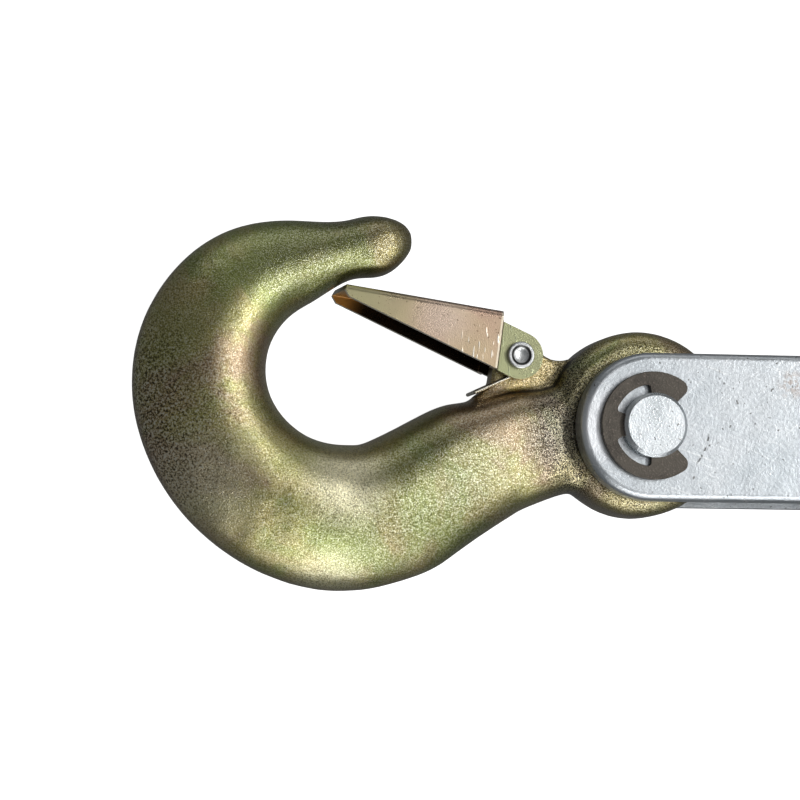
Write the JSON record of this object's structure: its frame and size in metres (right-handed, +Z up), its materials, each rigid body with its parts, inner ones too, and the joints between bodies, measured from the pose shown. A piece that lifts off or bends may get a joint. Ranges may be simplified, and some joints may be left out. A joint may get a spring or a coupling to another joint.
{
  "type": "load binder",
  "caption": "Over-centre lever load binder: latched sling hook pinned between flat link plates, cranked lever with grip, toggle link and swivelling latched hook.",
  "frame": {"origin": "bottom centre of the whole binder's box at rest: mid-length, mid-width, and the lowest pin ends", "axes": "+X along the load line from the link hook to the swivel hook, +Y across it on the side of the hook openings, away from the handle, +Z up along every pivot pin"},
  "size_m": [0.515, 0.1582, 0.0336],
  "materials": {
    "plate_zinc": "bright zinc plate on flat bar, faint rolling marks and light scratches",
    "pin_zinc": "turned steel pin, zinc plated",
    "clip_spring_steel": "dark brown-grey phosphated spring steel",
    "hook_chromate": "blasted forging under olive-gold yellow chromate, coarse bright grain, green and pink clouds",
    "latch_chromate": "smooth pressed sheet under beige-pink yellow chromate, greener at the tip",
    "rivet_steel": "bright steel rivet",
    "spring_wire": "bright spring wire",
    "cheek_zinc": "bright zinc plate, slightly greyer than the link plates",
    "toggle_zinc": "zinc plated forging, fine satin grain",
    "bolt_steel": "dark steel bolt and washer",
    "grip_vinyl": "dipped red vinyl, semi-matt"
  },
  "bodies": {
    "link_frame": {"front_link_plate": "plate_zinc", "rear_link_plate": "plate_zinc", "link_hook_pin": "pin_zinc", "link_pin_clip": "clip_spring_steel"},
    "lever": {"front_lever_cheek": "cheek_zinc", "rear_lever_cheek": "cheek_zinc", "front_pivot_stud": "pin_zinc", "rear_pivot_stud": "pin_zinc", "pivot_stud_clips": "clip_spring_steel", "toggle_pin": "pin_zinc", "stop_stud": "pin_zinc", "handle_bar": "cheek_zinc", "handle_rivets": "rivet_steel", "hand_grip": "grip_vinyl"},
    "toggle": {"toggle_link": "toggle_zinc", "swivel_bolt": "bolt_steel", "swivel_washer": "bolt_steel", "lock_pin": "spring_wire"},
    "stirrup_frame": {"stirrup": "plate_zinc", "stirrup_hook_pin": "pin_zinc", "stirrup_pin_clip": "clip_spring_steel"},
    "hook_a": {"link_hook": "hook_chromate", "link_latch_rivet": "rivet_steel", "link_latch_spring": "spring_wire"},
    "latch_a": {"link_latch": "latch_chromate"},
    "hook_b": {"swivel_hook": "hook_chromate", "swivel_latch_rivet": "rivet_steel", "swivel_latch_spring": "spring_wire"},
    "latch_b": {"swivel_latch": "latch_chromate"}
  },
  "joints": [
    {"name": "hook_a_swing", "type": "hinge", "parent": "link_frame", "child": "hook_a", "pos_m": [-0.146, 0.03339, 0.0168], "axis": [0, 0, 1], "range_deg": [-60, 20]},
    {"name": "latch_a_open", "type": "hinge", "parent": "hook_a", "child": "latch_a", "pos_m": [-0.1736, 0.04879, 0.0168], "axis": [0, 0, 1], "range_deg": [0, 45], "stiffness_Nm_per_rad": 0.04, "springref_deg": -51.57, "deforming": ["link_latch_spring"]},
    {"name": "lever_throw", "type": "hinge", "parent": "link_frame", "child": "lever", "pos_m": [-0.026, 0.03339, 0.0168], "axis": [0, 0, -1], "range_deg": [0, 130]},
    {"name": "toggle_turn", "type": "hinge", "parent": "lever", "child": "toggle", "pos_m": [-0.08549, 0.02556, 0.0168], "axis": [0, 0, -1], "range_deg": [-130, 0]},
    {"name": "stirrup_swivel", "type": "hinge", "parent": "toggle", "child": "stirrup_frame", "pos_m": [0.146, 0.02556, 0.0168], "axis": [1, 0, 0], "continuous": true},
    {"name": "hook_b_swing", "type": "hinge", "parent": "stirrup_frame", "child": "hook_b", "pos_m": [0.146, 0.02556, 0.0168], "axis": [0, 0, 1], "range_deg": [-20, 60]},
    {"name": "latch_b_open", "type": "hinge", "parent": "hook_b", "child": "latch_b", "pos_m": [0.1736, 0.04095, 0.0168], "axis": [0, 0, -1], "range_deg": [0, 45], "stiffness_Nm_per_rad": 0.04, "springref_deg": -51.57, "deforming": ["swivel_latch_spring"]}
  ],
  "couplings": [
    {"joint": "toggle_turn", "follows": "lever_throw", "ratio": -1}
  ]
}
